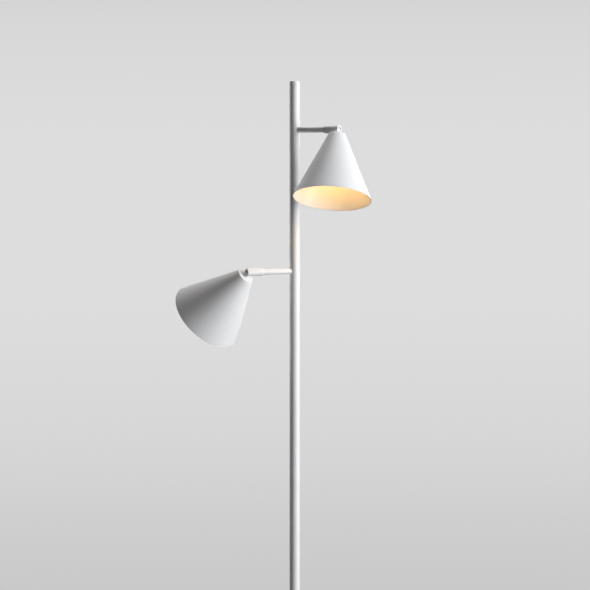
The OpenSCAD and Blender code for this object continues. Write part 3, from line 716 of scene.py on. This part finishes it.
holder = {"capR": 14 * mm, "capTop": -14.8 * mm, "capLow": -27.8 * mm, "capFloor": 2.4 * mm,
          "capWall": 1.6 * mm, "capRound": 2.3 * mm, "stemR": 5.05 * mm, "flutes": 40, "flute": 0.35 * mm,
          "bodyR": 12.5 * mm, "lipR": 13.6 * mm, "lip": 1 * mm, "bodyLow": -49.8 * mm, "plugR": 12.35 * mm,
          "roof": -24.8 * mm, "pocketTop": -27.8 * mm, "pocketR": 7.7 * mm, "contactR": 1.55 * mm,
          "thread": 0.35 * mm, "pitch": 2.4 * mm, "fadeRun": 1.5 * mm, "bodySides": 96}


def makeHolderCap(side):
    # moulded cup with upright flutes: the radius falls by flute * (1 - cos(flutes * a)) / 2 on the side wall
    inner = holder["capR"] - holder["capWall"]
    low, top, ceiling = holder["capLow"], holder["capTop"], holder["capTop"] - holder["capFloor"]
    outline = softOutline([
        (inner, low), (holder["capR"], low, 0.4 * mm), (holder["capR"], top, holder["capRound"]),
        (holder["stemR"], top, 0.2 * mm), (holder["stemR"], ceiling), (inner, ceiling, 0.5 * mm)], rests=12)

    def flutes(r, z, a):
        share = fadeIn(z, low + 1 * mm, 0.8 * mm) * fadeIn(-z, 2.6 * mm - top, 1.2 * mm)
        wave = 0.5 - 0.5 * np.cos(holder["flutes"] * a)
        return r - holder["flute"] * share * wave * (r > inner + 1 * mm), z

    mesh = turnedMesh(side + "_holder_cup", outline, places[side]["head"], 6 * holder["flutes"], shape=flutes)
    addPiece(mesh, side + "_head", "holder_plastic", "holder", side + "_holder_cap")


def makeHolderBody(side):
    # moulded sleeve with a coarse round thread outside: the radius falls by
    # thread * (1 + cos(2 pi z / pitch - a)) / 2
    low, capLow, bodyR = holder["bodyLow"], holder["capLow"], holder["bodyR"]
    lip = capLow - holder["lip"]
    outline = np.concatenate([
        straightRows(bodyR, low + 1.2 * mm, lip - 0.6 * mm, 84),
        softOutline([
            (bodyR, lip - 0.4 * mm), (bodyR, lip, 0.15 * mm), (holder["lipR"], lip, 0.3 * mm),
            (holder["lipR"], capLow, 0.2 * mm), (holder["plugR"], capLow),
            (holder["plugR"], holder["roof"], 0.4 * mm), (holder["contactR"], holder["roof"]),
            (holder["contactR"], holder["pocketTop"]), (holder["pocketR"], holder["pocketTop"]),
            (holder["pocketR"], low, 0.5 * mm), (bodyR, low, 0.6 * mm), (bodyR, low + 1 * mm)],
            closed=False, rests=4)])

    def thread(r, z, a):
        run = holder["fadeRun"]
        share = fadeIn(z, low + run, run) * fadeIn(-z, run - lip, run)
        wave = 0.5 + 0.5 * np.cos(2 * np.pi * z / holder["pitch"] - a)
        return r - holder["thread"] * share * wave * (r > bodyR - 0.1 * mm), z

    mesh = turnedMesh(side + "_holder_sleeve", outline, places[side]["head"], holder["bodySides"],
                      shape=thread)
    addPiece(mesh, side + "_head", "holder_plastic", "holder", side + "_holder_body")


breaking = {"merge": 2e-6, "flatAngle": 0.6, "edgeAngle": 35, "segments": 2}      # metres and degrees


def softenedCopy(name, node, body, slot, finish, width):
    # copy of a CAD node: its triangles merge into whole faces, and a bevel breaks its edges
    mesh = frame["nodes"][node].data.copy()
    mesh.name = name
    shell = bmesh.new()
    shell.from_mesh(mesh)
    bmesh.ops.remove_doubles(shell, verts=shell.verts, dist=breaking["merge"])
    bmesh.ops.dissolve_limit(shell, angle_limit=radians(breaking["flatAngle"]), verts=shell.verts,
                             edges=shell.edges)
    shell.to_mesh(mesh)
    shell.free()
    mesh.shade_smooth()
    mesh.set_sharp_from_angle(angle=radians(breaking["edgeAngle"]))
    bevel = addPiece(mesh, body, slot, finish, node).modifiers.new("brokenEdges", "BEVEL")
    bevel.width = width
    bevel.segments = breaking["segments"]
    bevel.limit_method = "ANGLE"
    bevel.angle_limit = radians(breaking["edgeAngle"])
    bevel.use_clamp_overlap = True
    bevel.harden_normals = True


makeBasePlate()
makeBasePad()
makePole()
makePoleCap()
softenedCopy("inlet_grommet", "inlet_bush", "stand", "white_plastic", "whitePlastic", 0.3 * mm)
for side in places:
    head, knuckle = side + "_head", side + "_knuckle"
    makeArmTube(side)
    makeCollar(side)
    softenedCopy(side + "_sleeve", side + "_knuckle_sleeve", knuckle, "powder_coat", "powder", 0.25 * mm)
    softenedCopy(side + "_tongue", side + "_knuckle_stem", head, "powder_coat", "powder", 0.25 * mm)
    softenedCopy(side + "_nut", side + "_stem_nut", head, "screw_steel", "zinc", 0.2 * mm)
    makeHolderCap(side)
    makeHolderBody(side)
    makeBulbScrew(side)
    makeBulbTip(side)
    makeBulbGlass(side)
print("stand, arms, knuckles and lamp holders")


# the frame's own pieces that stay in view, and what each is made of
nodeFinish = {
    "pole_spigot": "zinc", "spigot_screws": "zinc", "pole_lock_screw": "zinc", "lead_connector": "holder",
    "lead": "silicone", "head_lead": "silicone", "swivel_bush": "nylon", "stop_screw": "zinc",
    "tilt_pins": "powder", "tilt_washers": "zinc", "stem_washer": "zinc", "holder_contacts": "brass"}


def dressNodes():
    for name, node in frame["nodes"].items():
        kind = name.split("_", 1)[1] if name.split("_")[0] in places else name
        if kind in nodeFinish:
            for materialSlot in node.material_slots:
                materialSlot.material = finishes[nodeFinish[kind]]
        elif not node.hide_render:
            print("without a finish:", name)


dressNodes()
print("finishes on the frame's own pieces")


cameraPlace = {"distance": 4.5, "aside": 0.0006, "turn": 3.7, "height": 1.334, "pitch": -3.16, "lens": 141.33,
               "sensor": 36, "farClip": 100}


def makeCamera():
    # it stands in front of the lamp, a little to its right, and looks almost level
    turn = radians(cameraPlace["turn"])
    data = bpy.data.cameras.new("camera")
    data.lens = cameraPlace["lens"]
    data.sensor_width = cameraPlace["sensor"]
    data.clip_end = cameraPlace["farClip"]
    camera = bpy.data.objects.new("camera", data)
    bpy.context.scene.collection.objects.link(camera)
    back = Vector((sin(turn), -cos(turn), 0)) * cameraPlace["distance"]
    right = Vector((cos(turn), sin(turn), 0)) * cameraPlace["aside"]
    camera.location = back + right + Vector((0, 0, cameraPlace["height"]))
    camera.rotation_euler = (radians(90 + cameraPlace["pitch"]), 0, turn)
    bpy.context.scene.camera = camera


def cameraDirection(right, up, towards):
    # a direction given as the camera sees it, in the frame's axes
    turn = radians(cameraPlace["turn"])
    x = right * cos(turn) + towards * sin(turn)
    y = right * sin(turn) - towards * cos(turn)
    return Vector((x, y, up)).normalized()


# soft boxes, all aimed at the middle of the heads: azimuth from the camera's side round to its right and
# elevation, in degrees; width, height and distance in metres; power in watts
softBoxes = {
    "key": {"azimuth": 67, "elevation": 7, "width": 1.5, "height": 3.2, "power": 115,
            "color": (0.955, 0.978, 1)},
    "topBack": {"azimuth": 180, "elevation": 65, "width": 1.2, "height": 1.2, "power": 54,
                "color": (1, 1, 1)},
    "behind": {"azimuth": 168, "elevation": 5, "width": 1.2, "height": 1.2, "power": 20,
               "color": (1, 1, 1)},
    "kicker": {"azimuth": -124, "elevation": -3, "width": 1, "height": 1, "power": 1.4,
               "color": (1, 0.93, 0.91), "spread": 42},
    "under": {"azimuth": 20, "elevation": -80, "width": 1.5, "height": 1.5, "power": 13,
              "color": (1, 1, 1)},
    "fill": {"azimuth": 28, "elevation": 5, "width": 1.4, "height": 1.4, "power": 13,
             "color": (1, 0.98, 0.98)},
}
boxDistance = 3
headsMiddle = (0, 0, 1.25)


def makeSoftBox(name, box):
    azimuth, elevation = radians(box["azimuth"]), radians(box["elevation"])
    direction = cameraDirection(sin(azimuth) * cos(elevation), sin(elevation), cos(azimuth) * cos(elevation))
    data = bpy.data.lights.new(name, "AREA")
    data.shape = "RECTANGLE"
    data.size, data.size_y = box["width"], box["height"]
    data.energy, data.color = box["power"], box["color"]
    data.spread = radians(box.get("spread", 180))
    light = bpy.data.objects.new(name, data)
    bpy.context.scene.collection.objects.link(light)
    light.location = Vector(headsMiddle) + direction * boxDistance
    light.rotation_euler = direction.to_track_quat("Z", "Y").to_euler()


bulbLight = {"drop": 104 * mm, "radius": 18 * mm, "power": 0.143, "color": (1.0, 0.545, 0.125)}


def makeBulbLight(side):
    # small warm lamp in the middle of the globe
    data = bpy.data.lights.new(side + "_glow", "POINT")
    data.energy, data.color = bulbLight["power"], bulbLight["color"]
    data.shadow_soft_size = bulbLight["radius"]
    light = bpy.data.objects.new(side + "_glow", data)
    bpy.context.scene.collection.objects.link(light)
    light.location = places[side]["head"] @ Vector((0, 0, -bulbLight["drop"]))
    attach(light, side + "_head")


# tones of the backdrop from bottom to top: "from" and "to" are the upward part of the direction looked in
backdrop = {"tones": [(0.0, 0.585), (0.135, 0.651), (0.3, 0.709), (0.4685, 0.724), (0.62, 0.711),
                      (0.732, 0.668), (1.0, 0.6)],
            "from": -0.18, "to": 0.16, "blue": 1.003, "ambient": 0.01, "ambientColor": (1, 0.99, 0.985, 1)}


def makeWorld():
    # seen directly or in a reflection it is the pale backdrop, brightest just below eye level;
    # otherwise it is the studio's dim even light
    world = bpy.data.worlds.new("studio")
    bpy.context.scene.world = world
    world.use_nodes = True
    tree = world.node_tree
    tree.nodes.clear()
    direction = addNode(tree, "ShaderNodeTexCoord", -900, 0)
    split = addNode(tree, "ShaderNodeSeparateXYZ", -700, 0)
    tree.links.new(direction.outputs["Generated"], split.inputs[0])
    ramp = rangeNode(tree, -500, 0, split.outputs["Z"], backdrop["from"], backdrop["to"])
    tones = addNode(tree, "ShaderNodeValToRGB", -300, 0)
    tones.color_ramp.interpolation = "CARDINAL"
    for k, (at, level) in enumerate(backdrop["tones"]):
        stop = tones.color_ramp.elements[k] if k < 2 else tones.color_ramp.elements.new(at)
        stop.position = at
        stop.color = (level, level, level * backdrop["blue"], 1)
    seen = addNode(tree, "ShaderNodeBackground", 0, 150)
    dim = addNode(tree, "ShaderNodeBackground", 0, -150)
    dim.inputs["Color"].default_value = backdrop["ambientColor"]
    dim.inputs["Strength"].default_value = backdrop["ambient"]
    rays = addNode(tree, "ShaderNodeLightPath", -300, 400)
    glossy = mathNode(tree, "MAXIMUM", 0, 400, rays.outputs["Is Camera Ray"], rays.outputs["Is Glossy Ray"])
    clear = mathNode(tree, "MAXIMUM", 200, 400, glossy, rays.outputs["Is Transmission Ray"])
    mix = addNode(tree, "ShaderNodeMixShader", 400, 0)
    out = addNode(tree, "ShaderNodeOutputWorld", 650, 0)
    tree.links.new(ramp.outputs["Result"], tones.inputs["Fac"])
    tree.links.new(tones.outputs["Color"], seen.inputs["Color"])
    tree.links.new(clear, mix.inputs["Fac"])
    tree.links.new(dim.outputs[0], mix.inputs[1])
    tree.links.new(seen.outputs[0], mix.inputs[2])
    tree.links.new(mix.outputs[0], out.inputs["Surface"])


floor = {"radius": 2.3, "solid": 0.8, "faded": 2.25, "low": -0.3 * mm, "sides": 96, "rings": 14,
         "color": (0.62, 0.62, 0.62, 1), "bounce": (0.15, 0.15, 0.15, 1), "rough": 0.7,
         "drift": 0.03, "driftScale": 2}


def makeFloorMesh():
    # flat rings round one middle point
    a = np.linspace(0, 2 * np.pi, floor["sides"], endpoint=False)
    r = np.linspace(0, floor["radius"], floor["rings"])
    grid = np.stack(np.broadcast_arrays(r[:, None] * np.cos(a), r[:, None] * np.sin(a), floor["low"]), -1)
    rows, columns = grid.shape[:2]
    index = np.arange(rows * columns).reshape(rows, columns)
    wrapped = np.hstack([index, index[:, :1]])
    inner, outer = wrapped[1:-1], wrapped[2:]
    quads = np.stack([inner[:, :-1], outer[:, :-1], outer[:, 1:], inner[:, 1:]], -1).reshape(-1, 4)
    centre = [[0, i, j] for i, j in zip(wrapped[1, :-1].tolist(), wrapped[1, 1:].tolist())]
    mesh = bpy.data.meshes.new("floor")
    mesh.from_pydata(grid.reshape(-1, 3).tolist(), [], centre + quads.tolist())
    return mesh


def makeFloor():
    # a pale disc that fades out, so that the backdrop goes on past it, and is clear from below
    material, tree, shader = newMaterial("paleFloor", Roughness=floor["rough"])
    tone = effect(tree, "tone", -300, 100, Color=floor["color"], Scale=floor["driftScale"],
                  Amount=floor["drift"])
    rays = addNode(tree, "ShaderNodeLightPath", -300, 400)
    seen = mixColor(tree, 0, 200, floor["bounce"], tone, rays.outputs["Is Camera Ray"])
    tree.links.new(seen, shader.inputs["Base Color"])
    place = addNode(tree, "ShaderNodeTexCoord", -500, -400)
    distance = addNode(tree, "ShaderNodeVectorMath", -300, -400, operation="LENGTH")
    tree.links.new(place.outputs["Object"], distance.inputs[0])
    fade = rangeNode(tree, -100, -400, distance.outputs["Value"], floor["solid"], floor["faded"],
                     interpolation_type="SMOOTHSTEP")
    below = addNode(tree, "ShaderNodeNewGeometry", -100, -650)
    unseen = mathNode(tree, "MAXIMUM", 200, -450, fade.outputs["Result"], below.outputs["Backfacing"])
    clear = addNode(tree, "ShaderNodeBsdfTransparent", 500, -400)
    mix = addNode(tree, "ShaderNodeMixShader", 700, -200)
    out = tree.nodes["Material Output"]
    tree.links.new(unseen, mix.inputs["Fac"])
    tree.links.new(shader.outputs[0], mix.inputs[1])
    tree.links.new(clear.outputs[0], mix.inputs[2])
    tree.links.new(mix.outputs[0], out.inputs["Surface"])
    ground = bpy.data.objects.new("floor", makeFloorMesh())
    bpy.context.scene.collection.objects.link(ground)
    ground.data.materials.append(material)
    ground.visible_shadow = False      # the soft box under it lights the foot's underside


makeCamera()
for name, box in softBoxes.items():
    makeSoftBox(name, box)
for side in places:
    makeBulbLight(side)
makeWorld()
makeFloor()
bpy.context.scene.view_settings.view_transform = "Standard"
print("camera, lights and floor")
